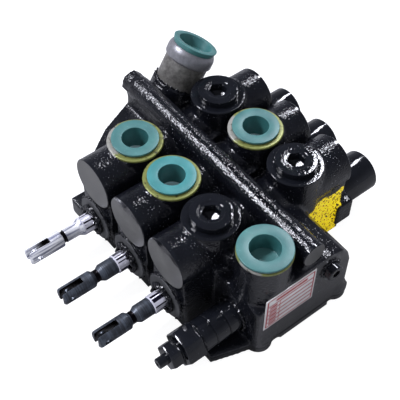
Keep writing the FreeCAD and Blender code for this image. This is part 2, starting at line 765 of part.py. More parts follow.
def relief_housing():
    """The cartridge, a grooved barrel with a hexagon, hollow for the poppet and spring."""
    nose, face = "-relief_nose", "-relief_boss_reach"
    body = part("relief_housing")
    thread = "relief_bore_radius - fit_gap"
    barrel, groove = "relief_barrel_radius", "relief_barrel_radius - relief_groove_depth"
    profile = [(nose, "0"), (nose, thread), (face, thread), (face, barrel)]
    for start in ("-relief_groove_first", "-relief_groove_second"):
        profile += [(start, barrel), (f"{start} - relief_groove / 2", groove), (f"{start} - relief_groove", barrel)]
    profile += [("-relief_hex_start", barrel), ("-relief_hex_start", "0")]
    revolve(body, "relief_barrel", "y", profile)
    hexagon(body, "Additive", "relief_hexagon", "y", "relief_hex", "-relief_hex_end", "-relief_hex_start + 0.5",
            ("0", "0"))
    rod(body, "Subtractive", "relief_orifice", "y", "relief_orifice_radius", "-relief_nose - 5", "1 - relief_nose",
        ("0", "0"))
    rod(body, "Subtractive", "relief_chamber", "y", "relief_chamber_radius", "-relief_chamber_end",
        "-relief_nose - relief_orifice_length", ("0", "0"))
    rod(body, "Subtractive", "adjuster_thread", "y", "adjuster_radius + fit_gap", "-relief_hex_end - 1",
        "1 - relief_chamber_end", ("0", "0"))
    place(body, *RELIEF_AT)


POPPET_SEAT = "(relief_nose + relief_orifice_length)"
POPPET_END = f"({POPPET_SEAT} + poppet_cone + poppet_length)"


def relief_inner_parts():
    """Poppet, spring, spring seat and adjusting screw inside the cartridge."""
    fit = "relief_chamber_radius - fit_gap"
    nose = "relief_orifice_radius - poppet_gap"
    turned("relief_poppet", "y", [
        (f"poppet_cone - {POPPET_SEAT}", "0"), (f"poppet_cone - {POPPET_SEAT}", f"{nose} - poppet_cone"),
        (f"-{POPPET_SEAT} - poppet_cone", f"{nose} + poppet_cone"), (f"-{POPPET_SEAT} - poppet_cone", fit),
        (f"-{POPPET_END}", fit), (f"-{POPPET_END}", "0")], RELIEF_AT)
    seat_front = "relief_seat_length - adjuster_inner_reach"
    coil("relief_spring", "y", "relief_coil_radius", "relief_wire", "relief_turns", seat_front,
         f"-{POPPET_END}", RELIEF_AT)
    turned("relief_spring_seat", "y", [
        ("-adjuster_inner_reach", "0"), ("-adjuster_inner_reach", fit), (seat_front, fit), (seat_front, "0")], RELIEF_AT)
    screw = part("relief_adjuster")
    revolve(screw, "adjuster_turn", "y", [
        ("-adjuster_reach", "0"), ("-adjuster_reach", "adjuster_radius"),
        ("-adjuster_inner_reach", "adjuster_radius"), ("-adjuster_inner_reach", "0")])
    hexagon(screw, "Subtractive", "adjuster_socket", "y", "adjuster_key", "-adjuster_reach - 1",
            "adjuster_key_depth - adjuster_reach",
            ("0", "0"))
    place(screw, *RELIEF_AT)


def relief_lock():
    """Sealing washer and lock nut on the adjusting screw."""
    washer_end = "-relief_hex_end - lock_washer"
    ring("relief_lock_washer", "y", "adjuster_radius + fit_gap", "lock_washer_radius", washer_end,
         "-relief_hex_end", RELIEF_AT)
    nut = part("relief_lock_nut")
    hexagon(nut, "Additive", "nut_hexagon", "y", "lock_nut_hex", f"{washer_end} - lock_nut_length", washer_end,
            ("0", "0"))
    rod(nut, "Subtractive", "nut_thread", "y", "adjuster_radius + fit_gap", f"{washer_end} - lock_nut_length - 1",
        f"{washer_end} + 1", ("0", "0"))
    place(nut, *RELIEF_AT)


# Load check

def load_check():
    """Socket plug, spring and poppet in the bore of the inlet section's face."""
    at = ("0", "check_y", "check_height")
    fit = "check_bore_radius - fit_gap"
    plug = part("check_plug")
    inner = "inlet_face - check_plug_thread"
    head = "inlet_face + check_boss_stand"
    head_end = f"{head} + check_plug_head"
    revolve(plug, "check_plug_turn", "x", [
        (inner, "0"), (inner, fit), (head, fit), (head, "check_plug_head_radius"),
        (head_end, "check_plug_head_radius"), (head_end, "0")])
    hexagon(plug, "Subtractive", "check_plug_socket", "x", "check_plug_key", f"{head_end} - check_plug_key_depth",
            f"{head_end} + 1", ("0", "0"))
    place(plug, *at)
    seat = "check_bore_end"
    nose = "check_orifice_radius - poppet_gap"
    shoulder = f"{seat} + check_poppet_length"
    turned("check_poppet", "x", [
        (f"{seat} - poppet_cone", "0"), (f"{seat} - poppet_cone", f"{nose} - poppet_cone"),
        (f"{seat} + poppet_cone", f"{nose} + poppet_cone"), (f"{seat} + poppet_cone", fit),
        (shoulder, fit), (shoulder, "0")], at)
    coil("check_spring", "x", "check_coil_radius", "check_wire", "check_turns", shoulder, inner, at)


def name_plate():
    plate = part("name_plate")
    block(plate, "Additive", "plate", ("inlet_face", "inlet_face + plate_thickness"),
          ("-plate_front", "plate_length - plate_front"), ("plate_bottom", "plate_bottom + plate_height"))


valve_body()
for section, centre in SPOOLS.items():
    spool(section, centre)
    clevis_end(section, centre)
    spring_pack(section, centre)
    spring_cap(section, centre)
    spool_seals(section, centre)
port_closures()
return_pipe()
relief_housing()
relief_inner_parts()
relief_lock()
load_check()
name_plate()
doc.recompute()

for obj in doc.Objects:
    if {"Invalid", "Error"} & set(obj.State):
        raise RuntimeError(f"{obj.Label} failed: {obj.State}")
os.makedirs("parts", exist_ok=True)
for obj in parts:
    if obj.Shape.isNull() or not obj.Shape.isValid() or not obj.Shape.Solids:
        raise RuntimeError(f"{obj.Label} has no valid solid")
    print(f"{obj.Label:24s} {len(obj.Shape.Solids)} solid, {obj.Shape.Volume / 1000:8.2f} cm3")
for obj in parts:
    obj.Shape.exportStep(f"parts/{obj.Label}.step")
print(len(parts), "nodes")
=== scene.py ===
import math

import bpy
from mathutils import Matrix, Vector


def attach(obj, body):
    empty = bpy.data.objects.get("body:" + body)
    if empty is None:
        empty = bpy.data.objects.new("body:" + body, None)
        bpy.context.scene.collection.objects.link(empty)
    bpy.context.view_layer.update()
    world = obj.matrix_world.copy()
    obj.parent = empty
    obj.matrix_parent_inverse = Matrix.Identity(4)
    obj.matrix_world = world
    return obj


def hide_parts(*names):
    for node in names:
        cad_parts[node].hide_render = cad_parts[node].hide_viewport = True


# A three-spool control valve of a lift truck. Sizes are in millimetres and become metres as the
# pieces are made. +X runs along the spools to the inlet, -Y is the lever side, +Z is up.

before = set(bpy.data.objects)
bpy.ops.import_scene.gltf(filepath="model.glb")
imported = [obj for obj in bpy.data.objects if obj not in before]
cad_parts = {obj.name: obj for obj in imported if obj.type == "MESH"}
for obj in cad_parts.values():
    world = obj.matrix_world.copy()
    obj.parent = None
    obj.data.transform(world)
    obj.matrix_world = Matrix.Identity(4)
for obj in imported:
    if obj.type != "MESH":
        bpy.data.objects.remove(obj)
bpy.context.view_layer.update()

MM = 0.001


def box(node):
    """The lowest and highest corner of a solid, in millimetres."""
    corners = [vertex.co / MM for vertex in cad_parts[node].data.vertices]
    return [[end(corner[axis] for corner in corners) for axis in range(3)] for end in (min, max)]


def middle(node):
    """The middle of a solid, rounded to a tenth, because a round solid has uneven flats."""
    return [round((low + high) / 2, 1) for low, high in zip(*box(node))]


# Places that are read from the solids.
SPOOL_X = {n: middle(f"spool_{n}")[0] for n in (1, 2, 3)}
SPOOL_Z = middle("spool_1")[2]
PORT_Y = {"a": middle("blank_plug_a3")[1], "b": middle("blank_plug_b3")[1]}
PRESSURE_XY = middle("port_plug_pressure")[:2]
RELIEF = (middle("relief_housing")[0], 0, middle("relief_housing")[2])
CHECK = (0, *middle("check_plug")[1:])
PLATE_LOW, PLATE_HIGH = ([round(c, 1) for c in corner] for corner in box("name_plate"))

# Places on the casting and the pipe.
PORT_FACE = 84
BLANK_Z = 63
BLANK_FACE = 77.9
RIDGE_Z = 76
PRESSURE_FACE = 88.7
PIPE_FOOT = (-84, 22.9, 60)
PIPE_TILT = 31.5
FEET = {"near_front": (102, -40), "near_rear": (102, 32), "far_front": (-80, -40), "far_rear": (-80, 32)}

# Half width and floor of the slot in a forked end, on the fork's own axis.
SLOT_HALF, SLOT_FLOOR = 2.3, -119.6

# The turn that stands a piece's own Z along each axis.
TURNS = {"x": (0, math.radians(90), 0), "y": (math.radians(-90), 0, 0), "z": (0, 0, 0)}
# Points closer than WELD are merged, and edges that turn more than SHARP_ANGLE degrees are broken.
WELD = 0.005 * MM
SHARP_ANGLE = 28
# How far a faced disc reaches into its boss.
DISC_DEPTH = 3


# Tools of the workshop

def alone(*pieces):
    """Deselects everything, then selects these pieces, the first one active."""
    if bpy.context.mode != "OBJECT":
        bpy.ops.object.mode_set(mode="OBJECT")
    bpy.ops.object.select_all(action="DESELECT")
    for piece in pieces:
        piece.select_set(True)
    if pieces:
        bpy.context.view_layer.objects.active = pieces[0]


def applied(piece, kind, **settings):
    """Puts a modifier on a piece and applies it."""
    alone(piece)
    modifier = piece.modifiers.new(kind.lower(), kind)
    for name, value in settings.items():
        setattr(modifier, name, value)
    bpy.ops.object.modifier_apply(modifier=modifier.name)


def finished(piece, bevel=0.0, smooth=40, segments=3):
    """Turns all faces outwards, breaks the sharp edges and smooths the round faces."""
    alone(piece)
    bpy.ops.object.mode_set(mode="EDIT")
    bpy.ops.mesh.select_all(action="SELECT")
    bpy.ops.mesh.remove_doubles(threshold=WELD)
    bpy.ops.mesh.normals_make_consistent(inside=False)
    bpy.ops.object.mode_set(mode="OBJECT")
    if bevel:
        applied(piece, "BEVEL", width=bevel * MM, segments=segments, limit_method="ANGLE",
                angle_limit=math.radians(SHARP_ANGLE), use_clamp_overlap=True)
    alone(piece)
    bpy.ops.object.shade_smooth_by_angle(angle=math.radians(smooth))


def settle(piece, at, axis="z", tilt=0.0):
    """Stands a piece's own Z along an axis, or leaned towards +Y, and moves its place into its mesh."""
    alone(piece)
    piece.rotation_euler = (math.radians(-tilt), 0, 0) if tilt else TURNS[axis]
    piece.location = [c * MM for c in at]
    bpy.ops.object.transform_apply(location=True, rotation=True, scale=True)


def upended(piece):
    """Mirrors a piece top to bottom; finished() turns its faces outwards again."""
    alone(piece)
    piece.scale = (1, 1, -1)
    bpy.ops.object.transform_apply(scale=True)


def turned(name, steps, sides=96, hollow=False, spin=0.0):
    """A piece turned as on a lathe: a disc or hoop drawn out and widened step by step.

    The steps give (radius, height); a hollow piece closes its last step on its first."""
    alone()
    radius, height = steps[0]
    bpy.ops.mesh.primitive_circle_add(vertices=sides, radius=radius * MM, location=(0, 0, 0),
                                      rotation=(0, 0, math.radians(spin)),
                                      fill_type="NOTHING" if hollow else "NGON")
    piece = bpy.context.object
    piece.name = name
    piece.data.name = name
    bpy.ops.object.transform_apply(location=True, rotation=True, scale=True)
    bpy.ops.object.mode_set(mode="EDIT")
    bpy.ops.mesh.select_all(action="SELECT")
    bpy.ops.transform.translate(value=(0, 0, height * MM))
    for next_radius, next_height in steps[1:]:
        bpy.ops.mesh.extrude_region_move(
            TRANSFORM_OT_translate={"value": (0, 0, (next_height - height) * MM)})
        grow = next_radius / radius
        bpy.ops.transform.resize(value=(grow, grow, 1), center_override=(0, 0, 0))
        radius, height = next_radius, next_height
    bpy.ops.object.mode_set(mode="OBJECT")
    return piece


def carved(piece, cutter):
    """Cuts one piece out of another."""
    finished(cutter, smooth=1)
    applied(piece, "BOOLEAN", operation="DIFFERENCE", solver="EXACT", object=cutter)
    bpy.data.objects.remove(cutter)


def bar(name, low, high):
    """A block between two corners."""
    alone()
    bpy.ops.mesh.primitive_cube_add(size=1, location=[(a + b) / 2 * MM for a, b in zip(low, high)])
    piece = bpy.context.object
    piece.name = name
    piece.scale = [(b - a) * MM for a, b in zip(low, high)]
    bpy.ops.object.transform_apply(location=True, rotation=True, scale=True)
    return piece


def fitted(piece, body, finish, *nodes):
    """Gives a piece its material, its body and the nodes that it stands for."""
    piece.data.materials.clear()
    piece.data.materials.append(finish)
    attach(piece, body)
    if nodes:
        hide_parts(*nodes)


# Materials

def linear(code):
    """An sRGB hex colour as linear red, green, blue and alpha."""
    channels = [int(code[i:i + 2], 16) / 255 for i in (1, 3, 5)]
    return [c / 12.92 if c <= 0.04045 else ((c + 0.055) / 1.055) ** 2.4 for c in channels] + [1.0]


def wire(node, inputs):
    """Sets or links a node's inputs, which come by name, or as a list in the node's own order.

    A node is linked by the first output that it shows, and a hex code is set as a colour."""
    if isinstance(inputs, dict):
        pairs = [(node.inputs[name], value) for name, value in inputs.items()]
    else:
        pairs = zip([socket for socket in node.inputs if socket.enabled], inputs)
    for socket, value in pairs:
        if isinstance(value, bpy.types.Node):
            value = next(output for output in value.outputs if output.enabled)
        if isinstance(value, bpy.types.NodeSocket):
            node.id_data.links.new(value, socket)
        else:
            socket.default_value = linear(value) if isinstance(value, str) else value


def add(tree, kind, inputs=(), **settings):
    """Adds a node with its settings and links."""
    made = tree.nodes.new("ShaderNode" + kind)
    for name, value in settings.items():
        setattr(made, name, value)
    wire(made, inputs)
    return made


def blank_material(name):
    """A new material with its shader, and the place of each point on the piece."""
    made = bpy.data.materials.new(name)
    made.use_nodes = True
    tree = made.node_tree
    tree.nodes.clear()
    shader = add(tree, "BsdfPrincipled")
    add(tree, "OutputMaterial", {"Surface": shader})
    place = add(tree, "TexCoord").outputs["Object"]
    return made, tree, shader, place


def grain(size):
    """The scale of a noise whose lumps are about this many millimetres across."""
    return 0.5 / (size * MM)


def cast_enamel():
    """Black alkyd enamel, dipped or sprayed thick over a sand casting.

    The sand's grain breaks its highlights up. There is dust on it, with pale flecks that are partly painted
    glints, a dull grey dry coat on the inlet's face, and yellow marking paint daubed on the flank beside the
    inlet."""
    made, tree, shader, place = blank_material("black enamel on sand casting")
    x, y, z = add(tree, "SeparateXYZ", [place]).outputs
    inlet_face = add(tree, "MapRange", [x, 108.5 * MM, 109.8 * MM])
    # The moulding sand is finer than this; it is drawn at 0.75 mm so that it shows.
    lumps = add(tree, "TexNoise", [place, grain(0.75), 1.0, 0.45])
    swells = add(tree, "TexNoise", [place, grain(3.5), 1.0])
    swells = add(tree, "Math", [swells, 0.9], operation="MULTIPLY")
    height = add(tree, "Math", [lumps, swells], operation="ADD")

    cloud = add(tree, "TexNoise", [place, grain(9.0)])
    black = add(tree, "Mix", [cloud, "#060609", "#14161C"], data_type="RGBA")
    coat = add(tree, "Mix", [inlet_face, black, "#3E3E40"], data_type="RGBA")
    # A dark line along the top of the ledge, on the inlet's face just above it.
    above = add(tree, "MapRange", [z, 4.8 * MM, 5.3 * MM])
    below = add(tree, "MapRange", [z, 6.6 * MM, 5.9 * MM])
    ledge_line = add(tree, "Math", [above, below], operation="MULTIPLY")
    coat = add(tree, "Mix", [ledge_line, coat, "#08080B"], data_type="RGBA")
    # Pale flecks: partly dust, partly painted glints standing in for the sparkle of the bumpy paint.
    fleck = add(tree, "MapRange", [add(tree, "TexNoise", [place, grain(0.4), 1.0]), 0.73, 0.77])
    dusty = add(tree, "MapRange", [add(tree, "TexNoise", [place, grain(12.0)]), 0.44, 0.62])
    pale = add(tree, "Math", [fleck, dusty], operation="MULTIPLY")
    flecked_and_glinting = add(tree, "Mix", [pale, coat, "#C9CAD2"], data_type="RGBA")

    # The daub has a ragged, slanted outline: its edges wander by a few millimetres.
    wander = add(tree, "Math", [add(tree, "TexNoise", [place, grain(5.0), 3.0]), 0.5], operation="SUBTRACT")
    wander = add(tree, "Math", [wander, 10 * MM], operation="MULTIPLY")
    across = add(tree, "Math", [y, wander], operation="ADD")
    up = add(tree, "Math", [z, wander], operation="ADD")
    slant = add(tree, "Math", [across, add(tree, "Math", [up, -0.62], operation="MULTIPLY")], operation="ADD")
    daub = 1.0
    for reading, outside, inside in ((x, 57.0, 58.0), (x, 65.5, 64.5), (slant, 13, 15), (across, 73.5, 72.5),
                                     (up, 51, 50)):
        edge = add(tree, "MapRange", [reading, outside * MM, inside * MM])
        daub = add(tree, "Math", [daub, edge], operation="MULTIPLY")
    thin = add(tree, "MapRange", [add(tree, "TexNoise", [place, grain(0.9), 3.0, 0.7]), 0.42, 0.48])
    daub = add(tree, "Math", [daub, thin], operation="MULTIPLY")

    # The enamel is glossiest on the inlet's half and dulls towards the outlet, on the lever side.
    wear = add(tree, "MapRange", [add(tree, "TexNoise", [place, grain(7.0), 3.0]), 0.35, 0.7, 0.05, 0.15])
    outlet_half = add(tree, "MapRange", [x, 5 * MM, -75 * MM, 0.0, 0.13])
    lever_side = add(tree, "MapRange", [y, 30 * MM, 18 * MM])
    faded = add(tree, "Math", [outlet_half, lever_side], operation="MULTIPLY")
    dull = add(tree, "Math", [daub, inlet_face], operation="MAXIMUM")
    dull = add(tree, "Math", [dull, 0.35], operation="MULTIPLY")
    glossy = add(tree, "Math", [wear, faded], operation="ADD")
    smoother = add(tree, "MapRange", [inlet_face, 0.0, 1.0, 1.0, 0.45])
    height = add(tree, "Math", [height, smoother], operation="MULTIPLY")
    wire(shader, {
        "Base Color": add(tree, "Mix", [daub, flecked_and_glinting, "#FFE91E"], data_type="RGBA"),
        "Roughness": add(tree, "Math", [glossy, dull], operation="ADD"),
        "Normal": add(tree, "Bump", {"Height": height, "Distance": 0.38 * MM}),
        # The marking paint glows a little: painted light, standing in for lamp light that this flank does not
        # get.
        "Emission Color": "#FFDA10",
        "Emission Strength": add(tree, "Math", [daub, 0.42], operation="MULTIPLY")})
    return made


def turned_enamel(name="black enamel on turned steel", ripple=2.2, depth=0.07, dullness=1.0):
    """The same enamel over turned steel: smooth and glossy, with faint runs and a little dust."""
    made, tree, shader, place = blank_material(name)
    ripples = add(tree, "TexNoise", [place, grain(ripple), 1.0])
    dust = add(tree, "MapRange", [add(tree, "TexNoise", [place, grain(0.35), 1.0]), 0.79, 0.82])
    cloud = add(tree, "TexNoise", [place, grain(7.0)])
    black = add(tree, "Mix", [cloud, "#07080B", "#17191F"], data_type="RGBA")
    wear = add(tree, "TexNoise", [place, grain(6.0)])
    wire(shader, {
        "Base Color": add(tree, "Mix", [dust, black, "#A5A7B2"], data_type="RGBA"),
        "Roughness": add(tree, "MapRange", [wear, 0.35, 0.7, 0.05 * dullness, 0.14 * dullness]),
        "Normal": add(tree, "Bump", {"Height": ripples, "Distance": depth * MM})})
    return made


def wet_enamel():
    """Enamel that ran together in thick drops, as glossy as glass."""
    made, tree, shader, place = blank_material("thick drops of black enamel")
    cloud = add(tree, "TexNoise", [place, grain(5.0)])
    lumps = add(tree, "TexNoise", [place, grain(0.9), 1.0])
    wire(shader, {
        "Base Color": add(tree, "Mix", [cloud, "#08080A", "#15161B"], data_type="RGBA"),
        "Roughness": 0.06,
        "Normal": add(tree, "Bump", {"Height": lumps, "Distance": 0.6 * MM})})
    return made


def overspray_face(name="thinly coated faced iron", dark="#505050", light="#616160"):
    """Faced iron under a thin dull coat: an even mid grey with few scuffs.

    On the two sections next to the inlet, the face turns glossy black towards its upper edge."""
    made, tree, shader, place = blank_material(name)
    cloud = add(tree, "MapRange", [add(tree, "TexNoise", [place, grain(9.0), 3.0]), 0.3, 0.75])
    grey = add(tree, "Mix", [cloud, dark, light], data_type="RGBA")
    scuff = add(tree, "MapRange", [add(tree, "TexNoise", [place, grain(0.9), 3.0, 0.7]), 0.70, 0.78])
    scuffed = add(tree, "Mix", [scuff, grey, "#8E8E90"], data_type="RGBA")
    x, _, z = add(tree, "SeparateXYZ", [place]).outputs
    wander = add(tree, "Math", [add(tree, "TexNoise", [place, grain(4.0)]), 0.5], operation="SUBTRACT")
    wander = add(tree, "Math", [wander, 12 * MM], operation="MULTIPLY")
    up = add(tree, "Math", [z, wander], operation="ADD")
    upper = add(tree, "MapRange", [up, 73.5 * MM, 78 * MM])
    past_first = add(tree, "MapRange", [x, -30 * MM, -29 * MM])
    short_of_end = add(tree, "MapRange", [x, 80 * MM, 79 * MM])
    sections = add(tree, "Math", [past_first, short_of_end], operation="MULTIPLY")
    # The face is drawn glossy black above a wandering line near its upper edge, on the middle and inlet-end
    # sections.
    glossy_black_top = add(tree, "Math", [upper, sections], operation="MULTIPLY")
    matt = add(tree, "MapRange", [cloud, 0.0, 1.0, 0.42, 0.55])
    glossier_top = add(tree, "Math", [glossy_black_top, 0.34], operation="MULTIPLY")
    marks = add(tree, "TexNoise", [place, grain(0.5)])
    wire(shader, {
        "Base Color": add(tree, "Mix", [glossy_black_top, scuffed, "#0E0F14"], data_type="RGBA"),
        "Roughness": add(tree, "Math", [matt, glossier_top], operation="SUBTRACT"),
        "Normal": add(tree, "Bump", {"Height": marks, "Distance": 0.04 * MM, "Strength": 0.6})})
    return made


def primed_face():
    """Spot-faced iron with a film of yellow chromate primer, with pale spots painted on as highlights."""
    made, tree, shader, place = blank_material("yellow chromate primer on faced iron")
    wander = add(tree, "TexNoise", [place, grain(4.0), 3.0])
    wander = add(tree, "Math", [wander, 10 * MM], operation="MULTIPLY")
    # The middle of each painted highlight, and how far round it reaches.
    painted_highlight_spots = (((-56.6, -54, PORT_FACE), 19), ((-12.6, 23, PORT_FACE), 17), ((96, -50, 88), 13))
    painted_highlight = 0.0
    for centre, reach in painted_highlight_spots:
        away = add(tree, "VectorMath", [place, [c * MM for c in centre]], operation="DISTANCE")
        away = add(tree, "Math", [away, wander], operation="ADD")
        spot = add(tree, "MapRange", [away, (reach + 3) * MM, reach * MM])
        painted_highlight = add(tree, "Math", [painted_highlight, spot], operation="MAXIMUM")
    # The film is yellow, and pale where the highlights are painted on.
    film = add(tree, "Mix", [painted_highlight, "#7A7F45", "#95948E"], data_type="RGBA")
    stain = add(tree, "MapRange", [add(tree, "TexNoise", [place, grain(1.6), 3.0, 0.65]), 0.56, 0.68])
    marks = add(tree, "TexNoise", [place, grain(0.5)])
    wire(shader, {
        "Base Color": add(tree, "Mix", [stain, film, "#2F2D18"], data_type="RGBA"),
        "Metallic": 0.3,
        "Roughness": 0.33,
        "Normal": add(tree, "Bump", {"Height": marks, "Distance": 0.05 * MM, "Strength": 0.5})})
    return made


def soft_plastic(name, dark, light, scratched="#9CC7C4"):
    """Low-density polyethylene of a shipping plug: waxy, with pale scratches all over."""
    made, tree, shader, place = blank_material(name)
    cloud = add(tree, "MapRange", [add(tree, "TexNoise", [place, grain(6.0)]), 0.3, 0.75])
    scratches = add(tree, "TexNoise", [place, grain(0.5), 2.0, 0.7])
    scratches = add(tree, "MapRange", [scratches, 0.68, 0.76, 0.0, 0.5])
    tint = add(tree, "Mix", [cloud, dark, light], data_type="RGBA")
    swells = add(tree, "TexNoise", [place, grain(1.2)])
    wire(shader, {
        "Base Color": add(tree, "Mix", [scratches, tint, scratched], data_type="RGBA"),
        "Roughness": 0.38,
        "IOR": 1.51,
        "Subsurface Weight": 0.06,
        "Subsurface Radius": (0.4, 1.0, 0.9),
        "Subsurface Scale": 1 * MM,
        "Normal": add(tree, "Bump", {"Height": swells, "Distance": 0.06 * MM, "Strength": 0.5})})
    return made


def hard_chrome():
    """Ground and chromed steel, splashed with enamel at its root, with lengthwise streaks of painted
    reflection and a painted highlight round its front lip.
    """
    made, tree, shader, place = blank_material("hard chrome on ground steel")
    y = add(tree, "SeparateXYZ", [place]).outputs["Y"]
    root = add(tree, "MapRange", [y, -87.0 * MM, -79.5 * MM, 0.30, 0.62])
    splash = add(tree, "TexNoise", [place, grain(1.5), 3.0, 0.6])
    paint = add(tree, "MapRange", [add(tree, "Math", [splash, root], operation="ADD"), 0.985, 1.0])
    # Lengthwise streaks of painted reflection, near black and near white, drawn 0.6 mm wide.
    drawn = add(tree, "Mapping", {"Vector": place, "Scale": (1.0, 0.02, 1.0)})
    reflection_streaks = add(tree, "MapRange", [add(tree, "TexNoise", [drawn, grain(0.6), 0.0]), 0.43, 0.49])
    # A painted highlight round the front lip.
    lip_highlight = add(tree, "MapRange", [y, -90.6 * MM, -91.0 * MM])
    bright = add(tree, "Math", [lip_highlight, reflection_streaks], operation="MAXIMUM")
    metal = add(tree, "Mix", [bright, "#141426", "#F3F2FF"], data_type="RGBA")
    bare = add(tree, "Math", [1.0, paint], operation="SUBTRACT")
    lumps = add(tree, "Math", [splash, paint], operation="MULTIPLY")
    wire(shader, {
        "Base Color": add(tree, "Mix", [paint, metal, "#08080A"], data_type="RGBA"),
        "Metallic": add(tree, "Math", [bare, 0.5], operation="MULTIPLY"),
        "Roughness": add(tree, "MapRange", [splash, 0.3, 0.7, 0.10, 0.22]),
        "Normal": add(tree, "Bump", {"Height": lumps, "Distance": 0.5 * MM, "Strength": 0.8})})
    return made


def phosphated_steel():
    """Turned steel blackened in a phosphate bath: matt blue-grey, rubbed brighter in places."""
    made, tree, shader, place = blank_material("phosphated steel")
    rings = add(tree, "Mapping", {"Vector": place, "Scale": (0.02, 1.0, 0.02)})
    rings = add(tree, "TexNoise", [rings, grain(0.45)])
    cloud = add(tree, "TexNoise", [place, grain(3.5), 3.0, 0.6])
    rubbed = add(tree, "MapRange", [add(tree, "Math", [rings, cloud], operation="MULTIPLY"), 0.2, 0.36])
    marks = add(tree, "TexNoise", [place, grain(0.5)])
    wire(shader, {
        "Base Color": add(tree, "Mix", [rubbed, "#32363D", "#4F5661"], data_type="RGBA"),
        "Metallic": 0.4,
        "Roughness": add(tree, "MapRange", [rubbed, 0.0, 1.0, 0.46, 0.34]),
        "Normal": add(tree, "Bump", {"Height": marks, "Distance": 0.04 * MM, "Strength": 0.6})})
    return made


def bright_steel(name="bright turned steel", dark="#9A9BA0", light="#C9CACD"):
    """Bare turned steel with faint rings from the tool and dull patches of oil."""
    made, tree, shader, place = blank_material(name)
    oil = add(tree, "MapRange", [add(tree, "TexNoise", [place, grain(4.0), 3.0]), 0.35, 0.7])
    # The tool's rings are finer; they are drawn 0.35 mm wide so that they show.
    rings = add(tree, "Mapping", {"Vector": place, "Scale": (0.15, 1.0, 0.15)})
    rings = add(tree, "TexNoise", [rings, grain(0.35), 1.0])
    wire(shader, {
        "Base Color": add(tree, "Mix", [oil, dark, light], data_type="RGBA"),
        "Metallic": 1.0,
        "Roughness": add(tree, "MapRange", [oil, 0.0, 1.0, 0.34, 0.22]),
        "Normal": add(tree, "Bump", {"Height": rings, "Distance": 0.03 * MM, "Strength": 0.6})})
    return made


def zinc_plate():
    """Bright zinc on the long forked end: pale blue-white, duller where handled, with painted shade deep in
    its slot.
    """
    made, tree, shader, place = blank_material("bright zinc plate")
    drawn = add(tree, "Mapping", {"Vector": place, "Scale": (1.0, 0.04, 1.0)})
    worn = add(tree, "MapRange", [add(tree, "TexNoise", [drawn, grain(0.9), 2.0, 0.6]), 0.44, 0.62])
    x, y, _ = add(tree, "SeparateXYZ", [place]).outputs
    aside = add(tree, "Math", [x, SPOOL_X[1] * MM], operation="SUBTRACT")
    aside = add(tree, "Math", [aside], operation="ABSOLUTE")
    # Painted shade inside the slot, darkest towards its inner end.
    deep = add(tree, "MapRange", [y, -130 * MM, -124 * MM])
    open_part = add(tree, "MapRange", [y, (SLOT_FLOOR + 0.6) * MM, (SLOT_FLOOR + 0.1) * MM])
    deep = add(tree, "Math", [deep, open_part], operation="MULTIPLY")
    slot = add(tree, "MapRange", [aside, (SLOT_HALF + 0.2) * MM, (SLOT_HALF + 0.06) * MM])
    slot = add(tree, "Math", [slot, deep], operation="MULTIPLY")
    zinc = add(tree, "Mix", [worn, "#FAFBFF", "#7E8196"], data_type="RGBA")
    marks = add(tree, "TexNoise", [place, grain(0.6)])
    wire(shader, {
        "Base Color": add(tree, "Mix", [slot, zinc, "#17161A"], data_type="RGBA"),
        "Metallic": 0.42,
        "Roughness": add(tree, "MapRange", [worn, 0.0, 1.0, 0.24, 0.38]),
        "Normal": add(tree, "Bump", {"Height": marks, "Distance": 0.03 * MM, "Strength": 0.6})})
    return made


def drawn_tube():
    """Mild steel tube as drawn: warm dull grey and stained, polished greyer on its rolled bead."""
    made, tree, shader, place = blank_material("drawn steel tube")
    stain = add(tree, "MapRange", [add(tree, "TexNoise", [place, grain(3.0), 4.0, 0.7]), 0.35, 0.65])
    lean = math.radians(PIPE_TILT)
    from_foot = add(tree, "VectorMath", [place, [c * MM for c in PIPE_FOOT]], operation="SUBTRACT")
    along = add(tree, "VectorMath", [from_foot, (0, math.sin(lean), math.cos(lean))], operation="DOT_PRODUCT")
    bead = add(tree, "MapRange", [along, 32.8 * MM, 34.0 * MM])
    drawn = add(tree, "Mix", [stain, "#605E5B", "#918F8B"], data_type="RGBA")
    rubbed = add(tree, "TexNoise", [place, grain(2.0), 4.0, 0.7])
    polished = add(tree, "Mix", [rubbed, "#66666A", "#A6A6AC"], data_type="RGBA")
    pits = add(tree, "TexNoise", [place, grain(1.0), 4.0, 0.6])
    wire(shader, {
        "Base Color": add(tree, "Mix", [bead, drawn, polished], data_type="RGBA"),
        "Metallic": 0.65,
        "Roughness": add(tree, "MapRange", [stain, 0.0, 1.0, 0.46, 0.32]),
        "Normal": add(tree, "Bump", {"Height": pits, "Distance": 0.06 * MM, "Strength": 0.7})})
    return made


def nitrile():
    """Moulded nitrile rubber: dull black with a faint bloom."""
    made, tree, shader, place = blank_material("nitrile rubber")
    bloom = add(tree, "MapRange", [add(tree, "TexNoise", [place, grain(2.5), 3.0]), 0.45, 0.8])
    skin = add(tree, "TexNoise", [place, grain(0.6)])
    wire(shader, {
        "Base Color": add(tree, "Mix", [bloom, "#0B0B0C", "#2A2A2C"], data_type="RGBA"),
        "Roughness": 0.55,
        "Normal": add(tree, "Bump", {"Height": skin, "Distance": 0.05 * MM, "Strength": 0.6})})
    return made


